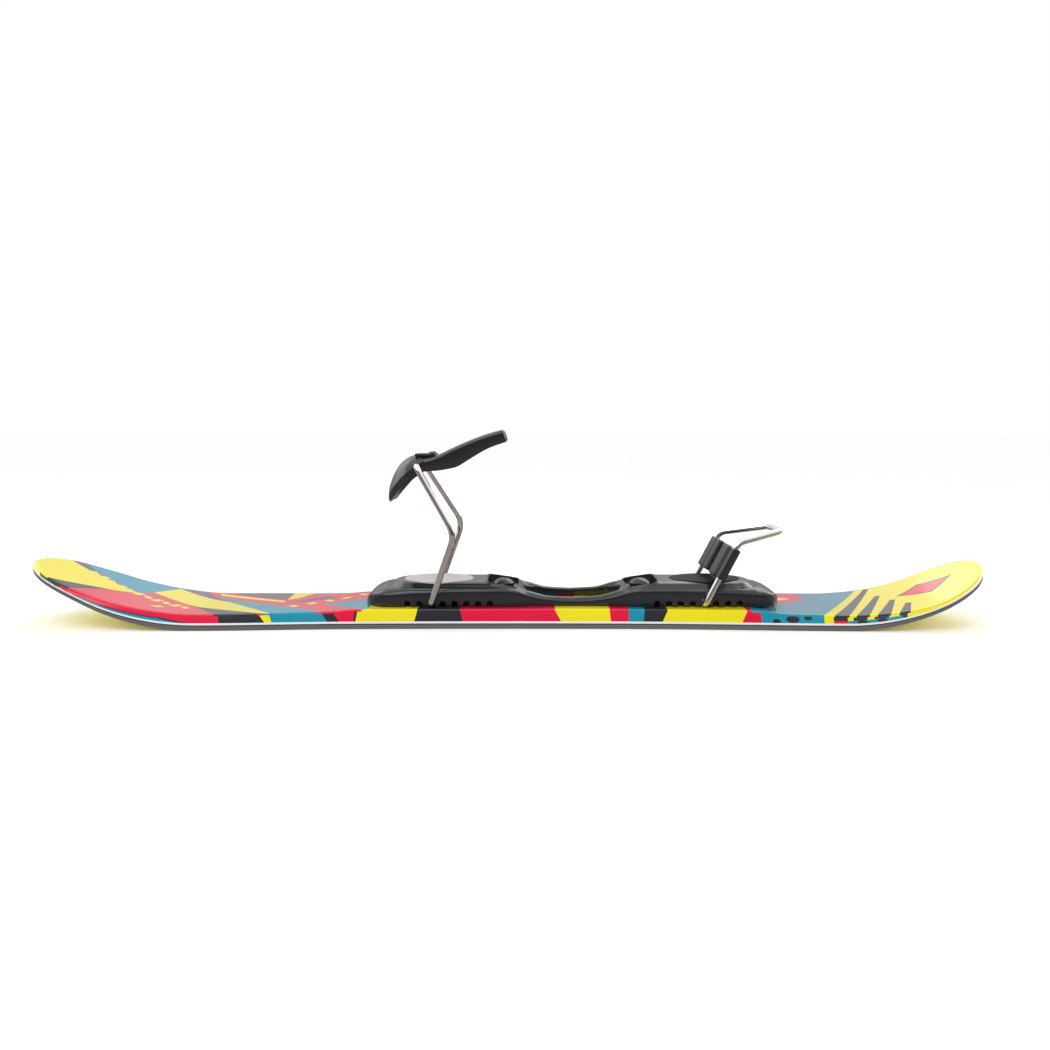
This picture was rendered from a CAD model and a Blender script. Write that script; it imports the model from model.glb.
"""Short twin-tip ski with a plate binding: printed cap, moulded binding parts, floor, light and camera."""
from math import cos, hypot, pi, radians, sin, sqrt, tan

import bmesh
import bpy
import numpy as np
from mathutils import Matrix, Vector


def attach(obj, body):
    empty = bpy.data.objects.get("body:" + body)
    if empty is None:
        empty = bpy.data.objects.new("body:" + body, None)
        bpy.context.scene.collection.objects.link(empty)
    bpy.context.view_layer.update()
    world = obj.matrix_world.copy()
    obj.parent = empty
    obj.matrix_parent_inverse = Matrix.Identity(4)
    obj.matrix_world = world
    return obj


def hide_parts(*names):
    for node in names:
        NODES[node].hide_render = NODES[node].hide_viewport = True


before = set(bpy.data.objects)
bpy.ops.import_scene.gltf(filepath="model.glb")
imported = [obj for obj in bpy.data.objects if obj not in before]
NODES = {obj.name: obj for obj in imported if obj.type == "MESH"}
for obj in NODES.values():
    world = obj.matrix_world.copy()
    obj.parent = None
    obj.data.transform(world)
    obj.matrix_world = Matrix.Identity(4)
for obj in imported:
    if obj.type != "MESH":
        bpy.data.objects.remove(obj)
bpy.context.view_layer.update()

MM = 0.001

# ---- sizes shared with the CAD model, in millimetres ----
END = 493.7
TIP_START, TIP_RADIUS, TIP_SLOPE = -310.0, 260.0, radians(24.6)
TAIL_START, TAIL_RADIUS = 334.0, 255.0
SIDE_POINTS = [(-486.5, 24.5), (-467, 42.5), (-441, 50.8), (-400, 55.4), (-345, 56.5), (-281, 55.6),
               (-210, 51.2), (-120, 48.4), (40, 47.6), (180, 50.2), (279, 55.3), (350, 58.2),
               (405, 59.4), (438, 58.0), (460, 52.9), (474, 45.6), (486, 31.0)]
DECK_POINTS = [(-493.7, 7.2), (-461, 7.6), (-421, 11.0), (-381, 14.6), (-345, 16.0), (-310, 16.0),
               (-240, 16.6), (-178, 17.6), (-154, 19.5), (246, 19.5), (285, 16.1), (318, 15.6),
               (358, 14.6), (398, 11.6), (438, 8.0), (470, 6.9), (493.7, 6.6)]
STRIP_TOP = 7.6
TIP_THIN = 0.62
MID = 68.0
DECK = 19.5

# ---- colours, linear ----
YELLOW = (0.78, 0.67, 0.004)
CRIMSON = (0.68, 0.003, 0.042)
TEAL = (0.004, 0.25, 0.36)
INK = (0.022, 0.022, 0.030)
PLUM = (0.10, 0.055, 0.11)


# ---- small helpers ----
def smooth(t):
    """Eases 0..1, and stays at 0 or 1 outside."""
    t = np.clip(t, 0.0, 1.0)
    return t * t * (3 - 2 * t)


def rocker(x):
    """Height of the running base, in millimetres."""
    if x < TIP_START:
        d = TIP_START - x
        run = TIP_RADIUS * sin(TIP_SLOPE)
        if d <= run:
            return TIP_RADIUS - sqrt(TIP_RADIUS ** 2 - d * d)
        return TIP_RADIUS * (1 - cos(TIP_SLOPE)) + (d - run) * tan(TIP_SLOPE)
    if x > TAIL_START:
        return TAIL_RADIUS - sqrt(TAIL_RADIUS ** 2 - (x - TAIL_START) ** 2)
    return 0.0


def thinning(x):
    """How much thinner the board's layers are towards the ends."""
    start = TIP_START if x < 0 else TAIL_START
    return 1 - (1 - TIP_THIN) * float(smooth((abs(x) - abs(start)) / (END - abs(start))))


def cubic(xs, ys, at):
    """Smooth curve through points that doesn't overshoot them."""
    xs, ys, at = np.asarray(xs, float), np.asarray(ys, float), np.asarray(at, float)
    h, d = np.diff(xs), np.diff(ys) / np.diff(xs)
    same_way = d[:-1] * d[1:] > 0
    middle = np.where(same_way, 2 * d[:-1] * d[1:] / (d[:-1] + d[1:] + 1e-12), 0.0)
    m = np.concatenate([[d[0]], middle, [d[-1]]])
    i = np.clip(np.searchsorted(xs, at) - 1, 0, len(h) - 1)
    t = np.clip((at - xs[i]) / h[i], 0, 1)
    return ((1 + 2 * t) * (1 - t) ** 2 * ys[i] + t * (1 - t) ** 2 * h[i] * m[i]
            + t * t * (3 - 2 * t) * ys[i + 1] - t * t * (1 - t) * h[i] * m[i + 1])


def deck(x):
    """Height of the deck, in millimetres."""
    xs, hs = zip(*DECK_POINTS)
    return rocker(x) + float(cubic(xs, hs, x))


def closed_spline(points, per_span):
    """Smooth closed curve through points, with the same number of samples on each span."""
    p = np.asarray(points, float)
    n = len(p)
    h = np.linalg.norm(np.roll(p, -1, 0) - p, axis=1)
    a = np.zeros((n, n))
    b = np.zeros((n, 2))
    for i in range(n):
        a[i, i - 1], a[i, i], a[i, (i + 1) % n] = h[i], 2 * (h[i - 1] + h[i]), h[i - 1]
        b[i] = 3 * (h[i] * (p[i] - p[i - 1]) / h[i - 1] + h[i - 1] * (p[(i + 1) % n] - p[i]) / h[i])
    m = np.linalg.solve(a, b)
    out = []
    for i in range(n):
        j = (i + 1) % n
        for t in np.linspace(0, 1, per_span, endpoint=False):
            out.append((1 + 2 * t) * (1 - t) ** 2 * p[i] + t * (1 - t) ** 2 * h[i] * m[i]
                       + t * t * (3 - 2 * t) * p[j] - t * t * (1 - t) * h[i] * m[j])
    return np.array(out)


def mesh_object(name, verts, faces, body, mat, smooth_angle=35):
    """A named mesh in metres from millimetre vertices, shaded smooth below an angle, riding on a body."""
    mesh = bpy.data.meshes.new(name)
    mesh.from_pydata([tuple(c * MM for c in v) for v in verts], [], faces)
    mesh.validate()
    obj = bpy.data.objects.new(name, mesh)
    bpy.context.scene.collection.objects.link(obj)
    bm = bmesh.new()
    bm.from_mesh(mesh)
    bmesh.ops.recalc_face_normals(bm, faces=bm.faces)
    bm.to_mesh(mesh)
    bm.free()
    shade(mesh, smooth_angle)
    mesh.materials.append(mat)
    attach(obj, body)
    return obj


def shade(mesh, angle):
    mesh.shade_smooth()
    mesh.set_sharp_from_angle(angle=radians(angle))


# ---- shader helpers ----
class Tree:
    """A material's node tree with short calls for the nodes used here."""

    def __init__(self, name):
        self.mat = bpy.data.materials.new(name)
        self.mat.use_nodes = True
        self.nt = self.mat.node_tree
        self.bsdf = self.nt.nodes["Principled BSDF"]

    def add(self, kind, values=None, **props):
        n = self.nt.nodes.new(kind)
        for key, value in props.items():
            setattr(n, key, value)
        for key, value in (values or {}).items():
            if isinstance(value, bpy.types.NodeSocket):
                self.nt.links.new(value, n.inputs[key])
            else:
                n.inputs[key].default_value = value
        return n

    def math(self, op, a, b=0.0, c=None):
        values = {0: a, 1: b}
        if c is not None:
            values[2] = c
        return self.add("ShaderNodeMath", values, operation=op).outputs[0]

    def mix(self, factor, a, b):
        n = self.add("ShaderNodeMix", {0: factor}, data_type="RGBA")
        for index, value in ((6, a), (7, b)):
            if isinstance(value, bpy.types.NodeSocket):
                self.nt.links.new(value, n.inputs[index])
            else:
                n.inputs[index].default_value = (*value[:3], 1)
        return n.outputs[2]

    def place(self):
        return self.add("ShaderNodeTexCoord").outputs["Object"]

    def noise(self, scale, detail=3.0, rough=0.5, vector=None, stretch=None):
        vector = vector or self.place()
        if stretch:
            vector = self.add("ShaderNodeMapping", {"Vector": vector, "Scale": stretch}).outputs[0]
        values = {"Vector": vector, "Scale": scale, "Detail": detail, "Roughness": rough}
        return self.add("ShaderNodeTexNoise", values).outputs[0]

    def ramp(self, value, low, high):
        """Maps 0..1 to low..high."""
        return self.math("MULTIPLY_ADD", value, high - low, low)

    def bump(self, height, distance, strength=1.0):
        n = self.add("ShaderNodeBump", {"Height": height, "Distance": distance, "Strength": strength})
        self.nt.links.new(n.outputs[0], self.bsdf.inputs["Normal"])

    def set(self, **values):
        for key, value in values.items():
            socket = self.bsdf.inputs[key.replace("_", " ")]
            if isinstance(value, bpy.types.NodeSocket):
                self.nt.links.new(value, socket)
            elif isinstance(value, tuple):
                socket.default_value = (*value, 1)
            else:
                socket.default_value = value


def black_plastic():
    t = Tree("black_plastic")
    wear = t.noise(55, 4)
    t.set(Base_Color=t.mix(t.noise(9), (0.010, 0.011, 0.013), (0.018, 0.019, 0.022)),
          Roughness=t.ramp(wear, 0.13, 0.24), Specular_IOR_Level=0.6)
    t.bump(t.noise(2600, 2), 0.00003, 0.5)
    return t.mat


def grey_plastic():
    t = Tree("grey_plastic")
    t.set(Base_Color=t.mix(t.noise(14), (0.46, 0.42, 0.42), (0.54, 0.50, 0.50)),
          Roughness=t.ramp(t.noise(90, 4), 0.34, 0.46))
    t.bump(t.noise(1800, 2), 0.00004, 0.6)
    return t.mat


def pad_rubber():
    t = Tree("pad_rubber")
    t.set(Base_Color=t.mix(t.noise(20), (0.007, 0.008, 0.009), (0.014, 0.015, 0.016)),
          Roughness=t.ramp(t.noise(120, 4), 0.50, 0.66), Specular_IOR_Level=0.12)
    t.bump(t.noise(1400, 3), 0.00012, 0.8)
    return t.mat


def wire_steel():
    t = Tree("wire_steel")
    draw = t.noise(900, 3, 0.6, stretch=(1, 1, 0.06))
    t.set(Base_Color=t.mix(t.noise(30), (0.76, 0.75, 0.74), (0.86, 0.85, 0.84)), Metallic=1.0,
          Roughness=t.ramp(draw, 0.05, 0.14))
    t.bump(draw, 0.00001, 0.3)
    return t.mat


def screw_steel():
    t = Tree("screw_steel")
    t.set(Base_Color=t.mix(t.noise(200), (0.40, 0.40, 0.40), (0.55, 0.55, 0.56)), Metallic=1.0,
          Roughness=t.ramp(t.noise(400, 3), 0.25, 0.42))
    t.bump(t.noise(3000, 2), 0.00002, 0.5)
    return t.mat


def edge_steel():
    t = Tree("edge_steel")
    grind = t.noise(700, 3, 0.6, stretch=(0.02, 1, 3))
    t.set(Base_Color=t.mix(grind, (0.34, 0.33, 0.32), (0.58, 0.57, 0.56)), Metallic=1.0,
          Roughness=t.ramp(grind, 0.22, 0.42))
    t.bump(grind, 0.00003, 0.6)
    return t.mat


def running_base():
    t = Tree("running_base")
    grain = t.noise(500, 3, 0.6, stretch=(0.05, 1, 1))
    t.set(Base_Color=t.mix(grain, (0.78, 0.66, 0.010), (0.86, 0.75, 0.015)),
          Roughness=t.ramp(grain, 0.32, 0.5))
    t.bump(grain, 0.00004, 0.4)
    return t.mat


def plain(name, low, high, rough, scale=60, bump=0.00002):
    """Two-tone moulded or laminated finish for small and inner parts."""
    t = Tree(name)
    t.set(Base_Color=t.mix(t.noise(scale), low, high),
          Roughness=t.ramp(t.noise(scale * 3, 4), rough - 0.06, rough + 0.08))
    t.bump(t.noise(1500, 2), bump, 0.5)
    return t.mat


def core_wood():
    t = Tree("core_wood")
    grain = t.noise(120, 5, 0.6, stretch=(0.04, 1, 1))
    t.set(Base_Color=t.mix(grain, (0.50, 0.33, 0.17), (0.68, 0.50, 0.30)), Roughness=t.ramp(grain, 0.5, 0.7))
    t.bump(grain, 0.0002, 0.5)
    return t.mat


# ---- the printed cap ----
# Colour bands along the side: (start at the top corner, start at the lower rim, colour), tip to tail.
BANDS = [(-600, -600, YELLOW), (-475, -470, INK), (-446, -450, CRIMSON), (-288, -287, INK),
         (-248, -242, YELLOW), (-238, -235, TEAL), (-186, -180, INK), (-175, -168, CRIMSON),
         (-153, -154, INK), (-150, -152, YELLOW), (-90, -93, INK), (-47, -44, CRIMSON),
         (49, 55, YELLOW), (104, 105, CRIMSON), (123, 123, TEAL), (139, 138, INK), (162, 157, YELLOW),
         (241, 236, CRIMSON), (255, 255, TEAL), (317, 317, YELLOW), (326, 326, INK), (340, 340, YELLOW),
         (346, 345, INK), (360, 358, YELLOW), (367, 365, INK), (381, 380, YELLOW), (391, 390, INK),
         (399, 398, YELLOW)]
# The teal field behind the binding, which carries the lattice.
TAIL_FIELD = (TEAL, [(246, 80), (246, -80), (420, -80), (420, 80)])
# Flat shapes of the deck, painted in order: (colour, corners as along, across).
DECK_ART = [
    (CRIMSON, [(-520, -80), (-520, 80), (-146, 80), (-146, -80)]),
    (TEAL, [(-480, 42), (-356, 66), (-352, 44), (-389, 2), (-445, 23)]),
    (PLUM, [(-490, 34), (-478, 46), (-441, 23), (-450, 19)]),
    (YELLOW, [(-390, 0), (-520, 45), (-520, -72)]),
    (INK, [(-482, -51), (-414, -13), (-446, -58)]),
    (INK, [(-336, -6), (-246, -53), (-288, -58)]),
    (TEAL, [(-352, 48), (-184, -46), (-238, -56)]),
    (PLUM, [(-364, 48), (-348, 62), (-297, 5)]),
    (YELLOW, [(-381, 15), (-366, 48), (-297, 5), (-318, -21)]),
    (YELLOW, [(-318, -21), (-297, 5), (-238, -50), (-248, -50)]),
    (PLUM, [(-305, 46), (-290, 60), (-239, 60), (-239, 10)]),
    (YELLOW, [(-322, 48), (-316, 36), (-237, 0), (-238, 8)]),
    (YELLOW, [(-237, 0), (-239, 60), (-203, 60), (-205, 36), (-228, 20)]),
    (PLUM, [(-234, -4), (-198, 34), (-182, 18)]),
    (TEAL, [(-194, -8), (-140, 8), (-140, -44), (-146, -46)]),
    TAIL_FIELD,
    (CRIMSON, [(270, 60), (318, 52), (325, 19), (270, -10)]),
    (YELLOW, [(270, 38), (307, 22), (270, 0)]),
    (YELLOW, [(311, -63), (397, 64), (530, 64), (530, -64)]),
    (INK, [(399, 53), (404, 51), (338, -62), (322, -63)]),
    (INK, [(397, 18), (402, 16), (358, -63), (344, -63)]),
    (INK, [(403, -6), (408, -8), (380, -62), (365, -63)]),
    (INK, [(410, -27), (415, -29), (399, -63), (389, -60)]),
    (INK, [(413, 2), (442, 20), (471, 2), (442, -16)]),
    (CRIMSON, [(416, 2), (442, 17), (468, 2), (442, -13)]),
    (TEAL, [(34, 30), (52, 30), (52, -30), (34, -30)]),
    (CRIMSON, [(52, 30), (72, 30), (72, -30), (52, -30)]),
]
# Shapes low on the side wall: (colour, corners as along, share of the way down).
SIDE_ART = [
    (INK, [(-438, 1.05), (-428, 0.62), (-345, 0.50), (-310, 1.05)]),
    (TEAL, [(-434, 1.05), (-424, 0.78), (-348, 0.64), (-322, 1.05)]),
    (CRIMSON, [(326, 1.05), (326, 0.62), (340, 0.62), (340, 1.05)]),
    (TEAL, [(340, 1.05), (340, 0.62), (393, 0.38), (394, 1.05)]),
]
# Dark oval spots on the side wall: (along, share of the way down, half-length, half-height).
SIDE_SPOTS = [(270, 0.85, 4, 0.3), (286, 0.5, 6.5, 0.48), (301, 0.3, 4, 0.3), (354, 0.85, 5, 0.3),
              (374, 0.8, 5, 0.35)]


def burst_marks():
    """Loose slanted dashes along two lines of the deck, in place of lettering."""
    marks = []
    for start, end, count, size in (((-446, 20), (-332, -26), 11, 6.0), ((-222, -18), (-158, 30), 5, 6.5)):
        for i in range(count):
            f = i / (count - 1)
            x = start[0] + (end[0] - start[0]) * f
            y = start[1] + (end[1] - start[1]) * f
            lean = 3.0 if i % 2 else -2.0
            marks.append((YELLOW, [(x - size, y - lean), (x - 1, y + size * 0.8), (x + size, y + lean),
                                   (x + 1, y - size * 0.8)]))
    marks.append((YELLOW, [(-364, -34), (-356, -30), (-349, -33), (-357, -37)]))
    return marks


def polygon_mask(t, along, across, corners):
    """1 inside a convex polygon, made of half-planes."""
    sides = list(zip(corners, corners[1:] + corners[:1]))
    area = sum(x0 * y1 - x1 * y0 for (x0, y0), (x1, y1) in sides)
    turn = 1 if area > 0 else -1
    inside = None
    for (x0, y0), (x1, y1) in sides:
        length = hypot(x1 - x0, y1 - y0)
        a, b = -(y1 - y0) / length * turn, (x1 - x0) / length * turn
        part = t.math("MULTIPLY_ADD", along, a, -(a * x0 + b * y0))
        distance = t.math("MULTIPLY_ADD", across, b, part)
        inside = distance if inside is None else t.math("MINIMUM", inside, distance)
    return t.math("GREATER_THAN", inside, 0.0)


def round_mask(t, along, down, x, y, rx, ry):
    """1 inside an oval on the side wall."""
    dx = t.math("DIVIDE", t.math("SUBTRACT", along, x), rx)
    dy = t.math("DIVIDE", t.math("SUBTRACT", down, y), ry)
    r = t.math("ADD", t.math("MULTIPLY", dx, dx), t.math("MULTIPLY", dy, dy))
    return t.math("LESS_THAN", r, 1.0)


def printed_cap():
    t = Tree("printed_cap")
    art = t.add("ShaderNodeAttribute", attribute_name="art").outputs["Vector"]
    split = t.add("ShaderNodeSeparateXYZ", {0: art})
    along, across, down = split.outputs
    colour = BANDS[0][2]
    for top, low, tint in BANDS[1:]:
        edge = t.math("MULTIPLY_ADD", down, low - top, top)
        colour = t.mix(t.math("GREATER_THAN", along, edge), colour, tint)
    for tint, corners in SIDE_ART:
        colour = t.mix(polygon_mask(t, along, down, corners), colour, tint)
    for spot in SIDE_SPOTS:
        colour = t.mix(round_mask(t, along, down, *spot), colour, INK)
    on_deck = t.math("LESS_THAN", down, 0.06)
    deck_colour = colour
    for shape in DECK_ART + burst_marks():
        tint, corners = shape
        deck_colour = t.mix(polygon_mask(t, along, across, corners), deck_colour, tint)
        if shape is TAIL_FIELD:
            deck_colour = lattice(t, along, across, deck_colour)
    colour = t.mix(on_deck, colour, deck_colour)
    ink = t.noise(900, 2)
    shadow = t.mix(1.0, colour, (0.9, 0.9, 0.9))
    shadow.node.blend_type = "MULTIPLY"
    t.set(Base_Color=t.mix(ink, shadow, colour), Roughness=t.ramp(t.noise(40, 4), 0.13, 0.22),
          Coat_Weight=0.25, Coat_Roughness=0.06, Specular_IOR_Level=0.4)
    t.bump(t.noise(300, 3), 0.00002, 0.4)
    return t.mat


def lattice(t, along, across, colour):
    """Rows of small slanted dashes over the teal field behind the binding."""
    u = t.math("ADD", along, t.math("MULTIPLY", across, 0.55))
    row = t.math("FLOOR", t.math("DIVIDE", across, 6.0))
    u = t.math("ADD", u, t.math("MULTIPLY", row, 4.5))
    dash = t.math("LESS_THAN", t.math("PINGPONG", u, 4.5), 2.3)
    line = t.math("LESS_THAN", t.math("PINGPONG", across, 3.0), 1.5)
    field = polygon_mask(t, along, across, [(262, 80), (420, 80), (318, -52), (262, -52)])
    mask = t.math("MULTIPLY", t.math("MULTIPLY", dash, line), field)
    return t.mix(mask, colour, (0.16, 0.10, 0.20))


def outline(inset, per_span=14):
    """One side of the plan outline from tip to tail, moved in by inset."""
    side = [(x * (END - inset) / END, y - inset) for x, y in SIDE_POINTS]
    loop = [(-END + inset, 0)] + side + [(END - inset, 0)] + [(x, -y) for x, y in reversed(side)]
    return closed_spline(loop, per_span)[:per_span * (len(side) + 1) + 1]


def build_cap():
    """Closed shell with slanted side walls, a rounded corner and a crowned deck."""
    slant, corner, steps = 2.6, 1.7, 5
    # each ring: inset from the outline, share of the wall's height, drop below the deck
    rings = [(slant * share, share, 0.0) for share in (0, 0.5, 0.85)]
    for k in range(steps + 1):
        a = pi / 2 * k / steps
        rings.append((slant + corner * (1 - cos(a)), 1.0, corner * (1 - sin(a))))
    for extra in (3.0, 9.0, 18.0):
        rings.append((slant + corner + extra, 1.0, 0.0))
    rows = []
    for inset, share, drop in rings:
        row = []
        for x, y in outline(inset):
            low = rocker(x) + STRIP_TOP * thinning(x)
            top = deck(max(-END, min(END, x)))
            wall = top - corner * 0.8 - low
            z = low + wall * share if share < 1 else top - drop * min(1.0, (top - low) / 4.0)
            row.append(((x, y, z), (x, y, 1 - share)))
        rows.append(row)
    verts, art, faces = [], [], []
    count, width = len(rows[0]), 2 * len(rings)
    for i in range(count):
        right = [row[i] for row in rows]
        left = [((p[0], -p[1], p[2]), (a[0], -a[1], a[2])) for p, a in reversed(right)]
        for p, a in right + left:
            verts.append(p)
            art.append(a)
    for i in range(count - 1):
        for j in range(width - 1):
            a = i * width + j
            faces.append((a, a + 1, a + width + 1, a + width))
        faces.append((i * width + width - 1, i * width, (i + 1) * width, (i + 1) * width + width - 1))
    obj = mesh_object("printed_cap", verts, faces, "board", printed_cap(), 50)
    attribute = obj.data.attributes.new("art", "FLOAT_VECTOR", "POINT")
    attribute.data.foreach_set("vector", np.array(art, np.float32).ravel())
    bm = bmesh.new()
    bm.from_mesh(obj.data)
    bmesh.ops.remove_doubles(bm, verts=bm.verts, dist=0.00002)
    bmesh.ops.recalc_face_normals(bm, faces=bm.faces)
    bm.to_mesh(obj.data)
    bm.free()
    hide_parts("topsheet_cap")
    return obj


def finish_cad_nodes():
    """Materials for the CAD nodes that stay visible."""
    black, steel, wire, edge = black_plastic(), screw_steel(), wire_steel(), edge_steel()
    strip = plain("side_strip", (0.66, 0.68, 0.68), (0.76, 0.78, 0.78), 0.30)
    finish = {
        "base_sheet": running_base(), "steel_edge_left": edge, "steel_edge_right": edge,
        "lower_laminate": plain("laminate", (0.020, 0.020, 0.022), (0.04, 0.04, 0.042), 0.45),
        "side_strip_left": strip, "side_strip_right": strip, "wood_core": core_wood(),
        "insert_nuts": plain("insert_brass", (0.55, 0.40, 0.16), (0.66, 0.50, 0.22), 0.35),
        "binding_plate": black, "front_cover_disc": grey_plastic(), "rear_foot_pad": pad_rubber(),
        "toe_lever": black, "lever_keeper": black, "lock_caps": black, "heel_block_body": black,
        "heel_block_cover": black, "toe_bail": wire, "heel_bail": wire,
    }
    for name, node in NODES.items():
        mat = finish.get(name, steel)
        node.data.materials.clear()
        node.data.materials.append(mat)
        shade(node.data, 30)
    return black


# ---- binding plate: stations are distances from its centre, in millimetres ----
PLATE_HALF, PLATE_W = 215.5, 37.0
DISC_STATION, DISC_A, DISC_B, DISC_FLOOR = 140.0, 36.5, 25.0, 40.5
GAP_HALF, GAP_W = 52.0, 20.0
NOTCH_FIRST, NOTCH_PITCH, NOTCH_COUNT, NOTCH_DEEP = 85.0, 12.0, 8, 12.0
PIVOT_Z = 23.3
LOCK_STATION = 72.0
NOSE_START, NOSE_LONG, NOSE_POWER = 184.0, 31.5, 2.35
RIM_R = 1.7
POCKET_A, POCKET_B, POCKET_R, POCKET_FLOOR = 16.0, 26.0, 9.0, 34.0
WIRE_HOLE = 3.25
CUT_TOP = 60.0
# heights along the plate: outer rim, foot of the tier, and top of the tier
RIM_AT = (0, 14, 30, 45, 57, 68, 90, 108, 140, 168, 196, 206, 212, PLATE_HALF)
RIM_Z = (25.4, 25.9, 27.7, 31.2, 35.0, 36.3, 36.9, 36.6, 34.2, 32.2, 31.4, 30.8, 27.8, 22.0)
SHELF_AT = (0, 14, 30, 45, 57, 68, 90, 150, 193.5, 202, 208.4, 212.5, PLATE_HALF)
SHELF_Z = (25.4, 25.9, 27.7, 31.2, 35.4, 36.9, 37.2, 37.5, 37.9, 36.7, 33.3, 28.8, 22.0)
CREST_AT = (0, 25, 44, 60, 78, 96, 178, 200)
CREST_Z = (27.6, 29.0, 33.8, 38.8, 42.2, 43.1, 43.1, 42.0)
# half-width of the tier along the plate, and where it ends
TIER_AT = (0, 95, 125, 165, 200)
TIER_W = (33.8, 33.8, 33.0, 31.6, 31.0)
TIER_END = 193.5


def plate_width(s):
    """Half-width of the plate at a distance from its centre."""
    a = abs(s)
    if a < NOSE_START:
        return float(cubic((0, 30, 62, 90, 184), (31, 31.6, 35.4, PLATE_W, PLATE_W), a))
    share = min((a - NOSE_START) / NOSE_LONG, 1.0)
    return PLATE_W * (1 - share ** NOSE_POWER) ** (1 / NOSE_POWER)


def plate_edge(s, y):
    """Distance in from the plate's outline."""
    a, b = abs(s), abs(y)
    if a <= NOSE_START:
        return plate_width(s) - b
    share = (((a - NOSE_START) / NOSE_LONG) ** NOSE_POWER + (b / PLATE_W) ** NOSE_POWER) ** (1 / NOSE_POWER)
    return hypot(a - NOSE_START, b) * (1 / share - 1)


def plate_height(s, y):
    """Top surface of the plate: low arms in the middle, and pads with a ledge round a raised tier."""
    a, b = abs(s), abs(y)
    edge = plate_edge(s, y)
    rim = float(cubic(RIM_AT, RIM_Z, a))
    shelf = float(cubic(SHELF_AT, SHELF_Z, a))
    crest = float(cubic(CREST_AT, CREST_Z, a))
    tier_w = float(cubic(TIER_AT, TIER_W, a)) * plate_width(min(a, 150)) / PLATE_W
    reach = TIER_END - tier_w
    inside = tier_w - (hypot(a - reach, b) if a > reach else b)
    if inside < 0:
        q = edge / (edge - inside + 0.001)
        pad = rim + (shelf - rim) * sin(q * pi / 2) ** 0.6
    else:
        rise = 0.7 * float(smooth(inside / 9.0)) + 0.3 * float(smooth(inside / 16.0))
        pad = shelf + (crest - shelf) * rise
    # the groove at the foot of the tier, then the lip round the pocket
    pad -= 1.5 * np.exp(-((inside + 0.1) / 0.9) ** 2) * float(smooth((a - 58) / 20))
    dx, dy = max(abs(a - LOCK_STATION) - POCKET_A + POCKET_R, 0), max(b - POCKET_B + POCKET_R, 0)
    pad += 1.3 * np.exp(-((hypot(dx, dy) - POCKET_R - 1.0) / 1.1) ** 2)
    q = (b - GAP_W) / max(plate_width(s) - GAP_W, 1.0)
    arm = rim + (crest - rim) * max(0.0, 1 - abs(2 * q - 0.75) ** 2.4)
    z = arm + (pad - arm) * float(smooth((a - 44) / 14))
    if edge < RIM_R:
        z -= RIM_R - sqrt(max(RIM_R ** 2 - (RIM_R - max(edge, 0.0)) ** 2, 0.0))
    return max(z, DECK + 0.6)


def prism(bm, outline_points, low, high):
    """Adds an upright closed prism to a mesh."""
    bottom = [bm.verts.new((x * MM, y * MM, low * MM)) for x, y in outline_points]
    top = [bm.verts.new((x * MM, y * MM, high * MM)) for x, y in outline_points]
    bm.faces.new(list(reversed(bottom)))
    bm.faces.new(top)
    n = len(bottom)
    for i in range(n):
        j = (i + 1) % n
        bm.faces.new((bottom[i], bottom[j], top[j], top[i]))


def oval(cx, cy, a, b, n=96):
    """Points round an ellipse."""
    return [(cx + a * cos(2 * pi * i / n), cy + b * sin(2 * pi * i / n)) for i in range(n)]


def round_rectangle(cx, half_long, half_wide, r, n=14):
    """Points round a rectangle with rounded corners."""
    loop = []
    for i, (sx, sy) in enumerate(((1, 1), (-1, 1), (-1, -1), (1, -1))):
        for t in np.linspace(i * pi / 2, (i + 1) * pi / 2, n):
            loop.append((cx + sx * (half_long - r) + r * cos(t), sy * (half_wide - r) + r * sin(t)))
    return loop


def notch_profile(station, r=WIRE_HOLE, steps=10):
    """Side view of one notch: an arch open at the bottom."""
    arch = [(station + r * cos(t), PIVOT_Z + r * sin(t)) for t in np.linspace(0, pi, steps)]
    return arch + [(station - r, DECK - 2), (station + r, DECK - 2)]


def boolean(obj, cutter, operation="DIFFERENCE"):
    """Applies a boolean with a second mesh, which is then removed."""
    modifier = obj.modifiers.new("cut", "BOOLEAN")
    modifier.operation = operation
    modifier.solver = "EXACT"
    modifier.object = cutter
    bake(obj)
    bpy.data.objects.remove(cutter)


def bake(obj):
    """Applies all modifiers of a mesh."""
    bpy.context.view_layer.update()
    graph = bpy.context.evaluated_depsgraph_get()
    mesh = bpy.data.meshes.new_from_object(obj.evaluated_get(graph))
    obj.modifiers.clear()
    obj.data = mesh


def loose_mesh(name, bm):
    """A plain object from a bmesh, which is freed."""
    bmesh.ops.recalc_face_normals(bm, faces=bm.faces)
    mesh = bpy.data.meshes.new(name)
    bm.to_mesh(mesh)
    bm.free()
    obj = bpy.data.objects.new(name, mesh)
    bpy.context.scene.collection.objects.link(obj)
    return obj


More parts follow.
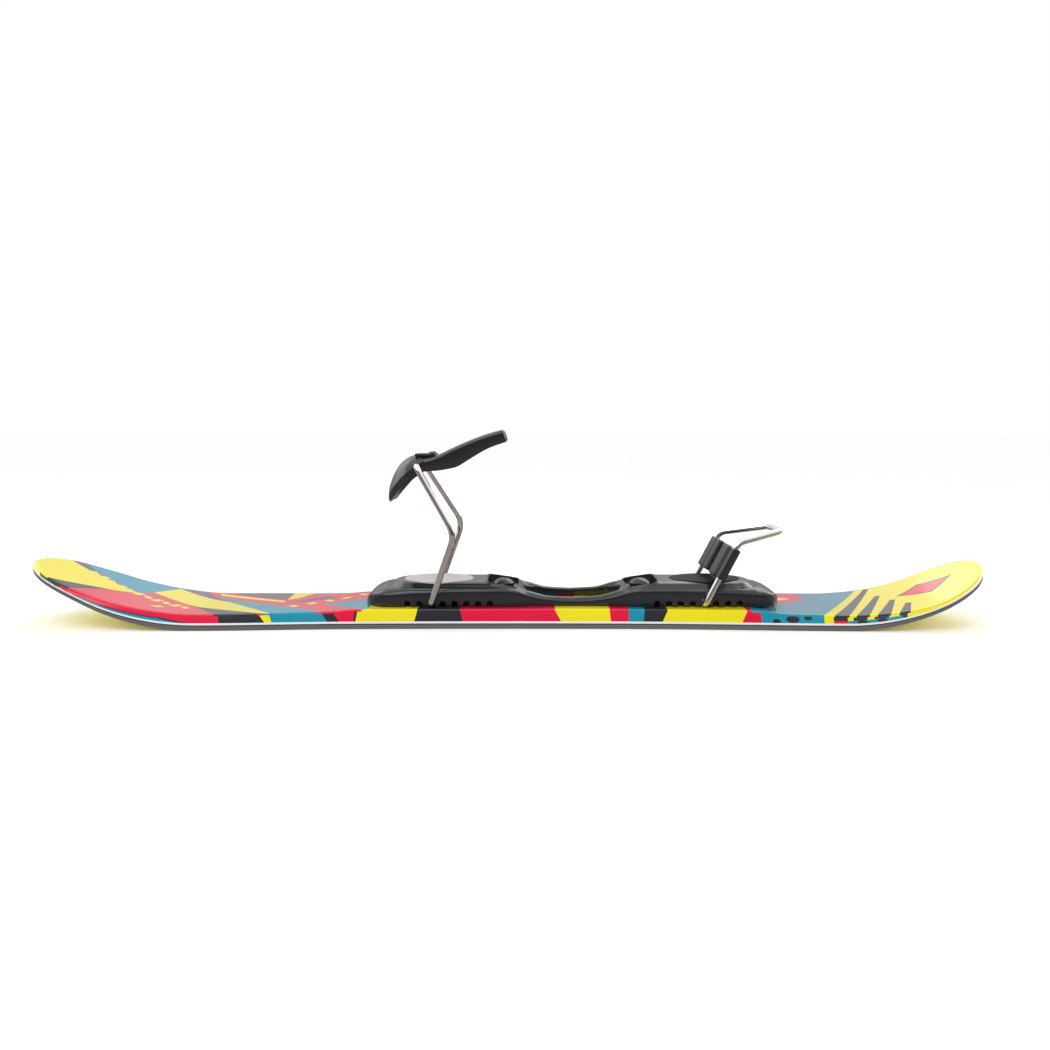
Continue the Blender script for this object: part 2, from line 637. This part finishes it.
def plate_cutter():
    """Everything that is cut out of the plate, as one mesh of separate prisms."""
    bm = bmesh.new()
    prism(bm, round_rectangle(MID, GAP_HALF, GAP_W, GAP_W - 0.1), DECK - 5, CUT_TOP)
    for end in (-1, 1):
        prism(bm, oval(MID + end * DISC_STATION, 0, DISC_A + 0.4, DISC_B + 0.4), DISC_FLOOR, CUT_TOP)
        pocket = round_rectangle(MID + end * LOCK_STATION, POCKET_A, POCKET_B, POCKET_R)
        prism(bm, pocket, POCKET_FLOOR, CUT_TOP)
        for sign in (-1, 1):
            for k in range(NOTCH_COUNT):
                station = MID + end * (NOTCH_FIRST + k * NOTCH_PITCH)
                outer, inner = sign * (PLATE_W + 4), sign * (PLATE_W - NOTCH_DEEP)
                near = [bm.verts.new((x * MM, outer * MM, z * MM)) for x, z in notch_profile(station)]
                far = [bm.verts.new((x * MM, inner * MM, z * MM)) for x, z in notch_profile(station)]
                bm.faces.new(near)
                bm.faces.new(far)
                for i in range(len(near)):
                    j = (i + 1) % len(near)
                    bm.faces.new((near[i], near[j], far[j], far[i]))
    return loose_mesh("plate_cutter", bm)


def build_plate(mat):
    """Moulded chassis: domed pads with a ledge, twin arms, notches, pockets and disc seats."""
    half = PLATE_HALF - 0.05
    inner = np.linspace(-176, 176, 281)
    nose = half - (half - 177.3) * (1 - np.sin(np.linspace(0, pi / 2, 56)))
    stations = np.concatenate([-nose[::-1], inner, nose])
    inset = np.concatenate([np.arange(0, 9.0, 0.4), np.linspace(9.0, PLATE_W, 22)])
    share = np.concatenate([inset / PLATE_W - 1, (1 - inset / PLATE_W)[-2::-1]])
    verts = []
    for s in stations:
        w = plate_width(s)
        for t in share:
            verts.append((MID + s, t * w, plate_height(s, t * w)))
    rows, cols = len(stations), len(share)
    top = rows * cols
    for s in stations:
        w = plate_width(s)
        verts.append((MID + s, -w, DECK))
        verts.append((MID + s, w, DECK))
    faces = []
    for i in range(rows - 1):
        for j in range(cols - 1):
            a = i * cols + j
            faces.append((a, a + 1, a + cols + 1, a + cols))
        faces.append((i * cols, (i + 1) * cols, top + 2 * i + 2, top + 2 * i))
        faces.append((i * cols + cols - 1, top + 2 * i + 1, top + 2 * i + 3, (i + 1) * cols + cols - 1))
        faces.append((top + 2 * i, top + 2 * i + 2, top + 2 * i + 3, top + 2 * i + 1))
    for i, first in ((0, top), (rows - 1, top + 2 * (rows - 1))):
        faces.append(tuple(i * cols + j for j in range(cols)) + (first + 1, first))
    obj = mesh_object("binding_chassis", verts, faces, "board", mat)
    boolean(obj, plate_cutter())
    soften(obj, 0.0004, 48)
    shade(obj.data, 40)
    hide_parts("binding_plate")
    return obj


# ---- toe lever ----
BAR = (-90.2, 162.2)
HANDLE_RUN, HANDLE_END_R, HANDLE_CORNER = 108.0, 2.6, 3.0
# Side view of the handle from the bar to its free end: top edge and underside, in pairs.
HANDLE = [(-97.0, 166.0, -95.0, 156.4), (-86.0, 167.9, -82.5, 156.6), (-76.0, 170.3, -70.9, 157.5),
          (-68.0, 173.4, -61.0, 159.0), (-59.5, 177.6, -52.6, 160.8), (-53.5, 180.4, -47.7, 163.0),
          (-45.4, 184.0, -40.0, 167.8), (-36.1, 187.9, -30.5, 173.6), (-27.9, 191.0, -22.5, 178.2),
          (-18.7, 194.1, -14.1, 182.0), (-9.9, 196.7, -6.0, 184.8), (-2.6, 198.4, 1.2, 187.1)]
# Side view of the claw from its lower end to the bar: crest, top and foot of the side walls.
CLAW_CREST = [(-122.0, 131.0), (-121.9, 137.5), (-120.4, 144.6), (-117.6, 151.9), (-111.9, 162.1),
              (-105.2, 168.6), (-97.8, 172.4), (-90.4, 173.8), (-84.0, 172.6)]
CLAW_RIM = [(-120.9, 128.6), (-116.5, 138.0), (-109.4, 147.8), (-101.2, 155.5), (-93.0, 161.8),
            (-88.0, 165.5), (-84.0, 167.5)]
CLAW_FOOT = [(-119.2, 125.0), (-111.5, 134.8), (-101.4, 145.7), (-93.5, 151.2), (-88.6, 154.5),
             (-84.0, 156.8)]


def resample(points, count):
    """Points evenly along a smooth curve through the given ones."""
    p = np.array(points, float)
    run = np.concatenate([[0], np.cumsum(np.linalg.norm(np.diff(p, axis=0), axis=1))])
    at = np.linspace(0, run[-1], count)
    return np.stack([cubic(run, p[:, k], at) for k in range(p.shape[1])], 1)


def loft(name, rings):
    """Closed mesh through rings with the same number of points."""
    n = len(rings[0])
    bm = bmesh.new()
    made = [bm.verts.new([c * MM for c in v]) for ring in rings for v in ring]
    for i in range(len(rings) - 1):
        for j in range(n):
            k = (j + 1) % n
            bm.faces.new((made[i * n + j], made[i * n + k], made[(i + 1) * n + k], made[(i + 1) * n + j]))
    bm.faces.new(made[:n])
    bm.faces.new(made[-n:])
    return loose_mesh(name, bm)


def bar_section(pair, half_w, corner, crown, inset, n=9):
    """Ring of the handle: round corners and a crowned top; inset shrinks it all round."""
    top, under = np.array(pair[:2]), np.array(pair[2:])
    mid, up = (top + under) / 2, (top - under) / 2
    length = np.linalg.norm(up)
    up = up / length
    h, w = length - inset, half_w - inset
    r = min(corner, h * 0.95)
    ring = []
    for i, (sy, sv) in enumerate(((1, 1), (-1, 1), (-1, -1), (1, -1))):
        for k in range(n):
            a = pi / 2 * (i + k / (n - 1))
            y, v = sy * (w - r) + r * cos(a), sv * (h - r) + r * sin(a)
            if sv > 0:
                v += crown * (1 - (y / w) ** 2)
            ring.append((mid[0] + up[0] * v, y, mid[1] + up[1] * v))
        if i == 0:
            for q in np.linspace(1, -1, 15)[1:-1]:
                y = q * (w - r)
                v = h + crown * (1 - (y / w) ** 2)
                ring.append((mid[0] + up[0] * v, y, mid[1] + up[1] * v))
    return ring


def build_handle():
    """Curved handle with a crowned top and a rounded free end."""
    rings = []
    count, end_r = 70, HANDLE_END_R
    for i, pair in enumerate(resample(HANDLE, count)):
        f = i / (count - 1)
        to_end = (1 - f) * HANDLE_RUN
        inset = end_r - sqrt(end_r ** 2 - (end_r - to_end) ** 2) if to_end < end_r else 0.0
        w = float(cubic((0, 0.25, 0.6, 1.0), (22.6, 22.4, 21.6, 20.8), f))
        crown = float(cubic((0, 0.12, 0.2, 0.28, 1.0), (4.6, 4.4, 3.0, 1.2, 1.1), f))
        rings.append(bar_section(pair, w, HANDLE_CORNER, crown, inset))
    return loft("toe_lever_handle", rings)


def build_claw():
    """Arched hood: a domed outer face, upright side walls and a hollow underside that closes at the nose."""
    count, n = 44, 27
    width_at, width = (0, 0.05, 0.12, 0.25, 0.55, 0.72, 1.0), (19.0, 24.5, 27.5, 29.6, 30.0, 27.4, 22.8)
    crest, rim, foot = (resample(line, count) for line in (CLAW_CREST, CLAW_RIM, CLAW_FOOT))
    rings = []
    for i in range(count):
        f = i / (count - 1)
        t = crest[min(i + 1, count - 1)] - crest[max(i - 1, 0)]
        t = t / np.linalg.norm(t)
        thick = float(cubic((0, 0.3, 0.75, 1.0), (5.0, 6.5, 9.0, 15.0), f))
        under = crest[i] - np.array((-t[1], t[0])) * thick
        under = under + (foot[i] + (0.6, 0.8) - under) * (1 - float(smooth(f / 0.14)))
        w = float(cubic(width_at, width, f))
        ring = []
        for q in np.linspace(-1, 1, n):
            x, z = crest[i] + (rim[i] - crest[i]) * abs(q) ** 2.2
            ring.append((x, q * w, z))
        for q in np.linspace(1, -1, n):
            x, z = under + (foot[i] - under) * abs(q) ** 2.6
            ring.append((x, q * w, z))
        rings.append(ring)
    claw = loft("toe_lever_claw", rings)
    soften(claw, 0.0005, 62)
    return claw


def soften(obj, width, angle):
    """Rounds the sharp edges of a mesh."""
    bevel = obj.modifiers.new("soft_edges", "BEVEL")
    bevel.width = width
    bevel.segments = 2
    bevel.limit_method = "ANGLE"
    bevel.angle_limit = radians(angle)
    bevel.use_clamp_overlap = True
    bake(obj)


def build_lever(mat):
    """Over-centre lever: arched claw and a curved handle on the bail's bar."""
    lever = build_handle()
    boolean(lever, build_claw(), "UNION")
    bm = bmesh.new()
    steps = 24
    circle = oval(BAR[0], BAR[1], WIRE_HOLE, WIRE_HOLE, steps)
    ends = [[bm.verts.new((x * MM, y * MM, z * MM)) for x, z in circle] for y in (-60, 60)]
    bm.faces.new(ends[0])
    bm.faces.new(ends[1])
    for k in range(steps):
        j = (k + 1) % steps
        bm.faces.new((ends[0][k], ends[0][j], ends[1][j], ends[1][k]))
    boolean(lever, loose_mesh("bar_hole", bm))
    lever.data.materials.clear()
    lever.data.materials.append(mat)
    shade(lever.data, 42)
    lever.name = "lever_moulding"
    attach(lever, "toe_lever")
    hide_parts("toe_lever")
    return lever


# ---- heel block ----
HEEL_PIVOT = MID + NOTCH_FIRST + 4 * NOTCH_PITCH
LEG_TOP = (233.0, 86.4)
BLOCK_LOW, BLOCK_LONG = 29.5, 34.5
BLOCK_W, BLOCK_REAR, BLOCK_FACE = 45.8, -5.6, 3.2
EDGE_R, EDGE_PULL, SIDE_R = 1.3, 1.2, 3.0
# Across the face, far side to near side: (centre, half-width, stand-out) of the raised ribs.
RIBS = [(33.0, 10.0, 3.4), (14.0, 7.0, 3.0), (-22.0, 11.0, 3.6)]


def leg_frame():
    """Unit vectors along the legs and square to them towards the boot, in the side view."""
    dx, dz = LEG_TOP[0] - HEEL_PIVOT, LEG_TOP[1] - PIVOT_Z
    length = hypot(dx, dz)
    return (dx / length, dz / length), (-dz / length, dx / length)


def block_face(y):
    """Stand-out of the block's ribbed face, with a wide groove, a slit and rounded sides."""
    v = BLOCK_FACE
    if -9.5 < y < 5.5:
        v = 1.4
    for centre, half, out in RIBS:
        q = abs(y - centre) / half
        if q < 1:
            v = max(v, BLOCK_FACE + out * sqrt(1 - q ** 2.4))
    if 21.2 < y < 22.6:
        v = 1.6
    side = (BLOCK_W - abs(y)) / SIDE_R
    if side < 1:
        v = min(v, 3.6) - 2.4 * (1 - sqrt(max(1 - (1 - side) ** 2, 0)))
    return v


def build_block(mat):
    """Ribbed heel block: one closed loft along the legs, rounded at both ends."""
    (ux, uz), (vx, vz) = leg_frame()
    far, near = np.linspace(BLOCK_W, 43, 7), np.linspace(-43, -BLOCK_W, 7)
    ys = np.concatenate([far, np.linspace(42.6, -42.6, 150), near])
    rings = []
    for u in (0, 0.35, 1.1, 2.4, 6, 14, 22, 30, 33.0, 33.8, 34.2, 34.5):
        edge = min(u, BLOCK_LONG - u)
        pull = EDGE_PULL * (1 - sqrt(max(1 - (1 - min(edge / EDGE_R, 1.0)) ** 2, 0.0)))
        shrink = 1 - pull * 0.012
        run = [(y * shrink, block_face(y) - pull) for y in ys]
        for y in ys[::-1]:
            run.append((y * shrink, BLOCK_REAR + pull + 1.6 * max(0, (abs(y) - 43) / 2.8) ** 2))
        along = BLOCK_LOW + u
        rings.append([(HEEL_PIVOT + ux * along + vx * v, y, PIVOT_Z + uz * along + vz * v) for y, v in run])
    obj = loft("heel_block", rings)
    obj.data.materials.append(mat)
    shade(obj.data, 38)
    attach(obj, "heel_bail")
    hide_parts("heel_block_body", "heel_block_cover")
    return obj


# ---- stage, light and camera, in metres ----
FLOOR_HALF, FLOOR_DROP = 12.0, 0.0002
WALL_RADIUS = 3.0
CARD_TINT = (1.0, 0.965, 0.96, 1)
# Upright cards round the object: (name, compass angles from and to, height, glow at the foot and at the top).
WALLS = [("wall_front", -150, -30, 2.2, 0.02, 0.5), ("wall_right", -30, 25, 1.4, 0.10, 1.1),
         ("wall_back", 25, 155, 1.0, 0.28, 0.9), ("wall_left", 155, 210, 1.4, 0.10, 1.1)]
# Area lights: (name, place, size, watts).
LIGHTS = [("key_light", (-0.5, -0.9, 1.5), 1.2, 8.0), ("rim_light", (0.7, 1.0, 1.1), 1.0, 5.0)]


def card(name, corners, low, high):
    """A panel that only reflections see; its glow goes from low at its foot to high at its top."""
    mesh = bpy.data.meshes.new(name)
    faces = [(i, i + 1, i + 3, i + 2) for i in range(0, len(corners) - 2, 2)]
    mesh.from_pydata(corners, [], faces)
    panel = bpy.data.objects.new(name, mesh)
    bpy.context.scene.collection.objects.link(panel)
    mat = bpy.data.materials.new(name)
    mat.use_nodes = True
    nt = mat.node_tree
    nt.nodes.clear()
    out = nt.nodes.new("ShaderNodeOutputMaterial")
    glow = nt.nodes.new("ShaderNodeEmission")
    split = nt.nodes.new("ShaderNodeSeparateXYZ")
    place = nt.nodes.new("ShaderNodeTexCoord")
    ramp = nt.nodes.new("ShaderNodeMapRange")
    ramp.interpolation_type = "SMOOTHSTEP"
    heights = [v[2] for v in corners]
    for index, value in ((1, min(heights)), (2, max(heights) + 0.001), (3, low), (4, high)):
        ramp.inputs[index].default_value = value
    nt.links.new(place.outputs["Object"], split.inputs[0])
    nt.links.new(split.outputs[2], ramp.inputs[0])
    nt.links.new(ramp.outputs[0], glow.inputs[1])
    glow.inputs[0].default_value = CARD_TINT
    nt.links.new(glow.outputs[0], out.inputs[0])
    mesh.materials.append(mat)
    panel.visible_camera = False
    panel.visible_diffuse = False
    panel.visible_shadow = False
    panel.visible_transmission = False


def arc_wall(name, start, end, top, low, high):
    """Curved upright card round the object between two compass angles."""
    corners = []
    for a in np.linspace(radians(start), radians(end), 13):
        for z in (0.0, top):
            corners.append((WALL_RADIUS * cos(a), WALL_RADIUS * sin(a), z))
    card(name, corners, low, high)


def stage():
    """Pale floor, white surround, and the cards that the gloss reflects."""
    mesh = bpy.data.meshes.new("floor")
    s = FLOOR_HALF
    mesh.from_pydata([(-s, -s, 0), (s, -s, 0), (s, s, 0), (-s, s, 0)], [], [(0, 1, 2, 3)])
    floor = bpy.data.objects.new("floor", mesh)
    bpy.context.scene.collection.objects.link(floor)
    floor.location.z = -FLOOR_DROP
    floor.visible_glossy = False
    t = Tree("floor")
    t.set(Base_Color=t.mix(t.noise(3), (0.975, 0.975, 0.975), (0.985, 0.985, 0.985)), Roughness=0.9,
          Specular_IOR_Level=0.0)
    mesh.materials.append(t.mat)
    for wall in WALLS:
        arc_wall(*wall)
    under = [(-3, -3, -0.02), (-3, 3, -0.02), (3, -3, -0.02), (3, 3, -0.02)]
    card("under_card", under, 0.32, 0.32)
    card("left_box", [(-2.4, 0.2, 0.9), (-1.7, 0.2, 2.2), (-1.6, 2.0, 0.9), (-1.1, 2.0, 2.2)], 1.8, 2.6)
    card("right_box", [(2.3, 0.5, 0.5), (2.0, 0.5, 1.5), (1.9, 1.5, 0.5), (1.6, 1.5, 1.5)], 3.5, 4.5)
    world = bpy.data.worlds.new("studio")
    world.use_nodes = True
    background = world.node_tree.nodes["Background"]
    background.inputs[0].default_value = (1, 1, 1, 1)
    background.inputs[1].default_value = 1.0
    bpy.context.scene.world = world
    for name, place, size, power in LIGHTS:
        light = bpy.data.lights.new(name, "AREA")
        light.size = size
        light.energy = power
        lamp = bpy.data.objects.new(name, light)
        lamp.location = place
        lamp.rotation_euler = (Vector((0, 0, 0.05)) - Vector(place)).to_track_quat("-Z", "Y").to_euler()
        bpy.context.scene.collection.objects.link(lamp)


def camera():
    """Low side view from a step away, a little above the board."""
    data = bpy.data.cameras.new("camera")
    data.sensor_width = 36.0
    data.lens = 28.49
    cam = bpy.data.objects.new("camera", data)
    cam.location = (0.0186, -0.866, 0.2047)
    cam.rotation_euler = (radians(83.07), 0, 0)
    bpy.context.scene.collection.objects.link(cam)
    bpy.context.scene.camera = cam
    bpy.context.scene.view_settings.view_transform = "Standard"


camera()
stage()
BLACK = finish_cad_nodes()
build_cap()
build_plate(BLACK)
build_lever(BLACK)
build_block(BLACK)
